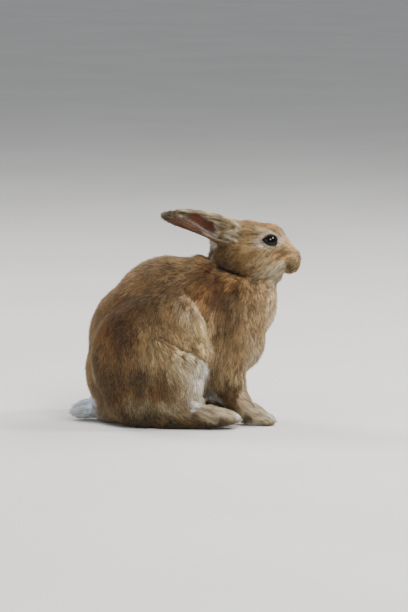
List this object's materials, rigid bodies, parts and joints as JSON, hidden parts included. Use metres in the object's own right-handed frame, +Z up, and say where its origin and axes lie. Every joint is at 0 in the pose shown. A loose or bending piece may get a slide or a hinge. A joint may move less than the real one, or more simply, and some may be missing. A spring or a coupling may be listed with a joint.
{
  "type": "rabbit",
  "caption": "Life-size rabbit sitting on its haunches, forepaws on the floor, head raised and long ears laid back, with a short tan coat and pale tail.",
  "frame": {"origin": "middle of the bottom of the bounding box, on the floor the rabbit sits on", "axes": "+X the way the rabbit faces, +Y its left, +Z up"},
  "size_m": [0.2718, 0.1394, 0.2572],
  "materials": {
    "coat_tan": "short dense agouti fur, tan ticked with dark brown",
    "coat_pale": "soft pale fur of the tail, the chin and the ring round the eye",
    "skin": "bare skin of the nose, the lids and the inside of the ears",
    "eye_dark": "wet, glossy, nearly black",
    "claw_horn": "satin horn",
    "whisker": "stiff pale hair"
  },
  "bodies": {
    "root": {"head": "coat_tan", "neck": "coat_tan", "trunk": "coat_tan", "foreleg_left": "coat_tan", "foreleg_right": "coat_tan", "forepaw_left": "coat_tan", "forepaw_right": "coat_tan", "hind_leg_left": "coat_tan", "hind_leg_right": "coat_tan", "hind_foot_left": "coat_tan", "hind_foot_right": "coat_tan", "ear_left": "coat_tan", "ear_right": "coat_tan", "tail": "coat_pale", "eye_left": "eye_dark", "eye_right": "eye_dark", "claw_fore_left_1": "claw_horn", "claw_fore_left_2": "claw_horn", "claw_fore_left_3": "claw_horn", "claw_fore_left_4": "claw_horn", "claw_fore_right_1": "claw_horn", "claw_fore_right_2": "claw_horn", "claw_fore_right_3": "claw_horn", "claw_fore_right_4": "claw_horn", "claw_hind_left_1": "claw_horn", "claw_hind_left_2": "claw_horn", "claw_hind_left_3": "claw_horn", "claw_hind_left_4": "claw_horn", "claw_hind_right_1": "claw_horn", "claw_hind_right_2": "claw_horn", "claw_hind_right_3": "claw_horn", "claw_hind_right_4": "claw_horn"}
  },
  "joints": []
}
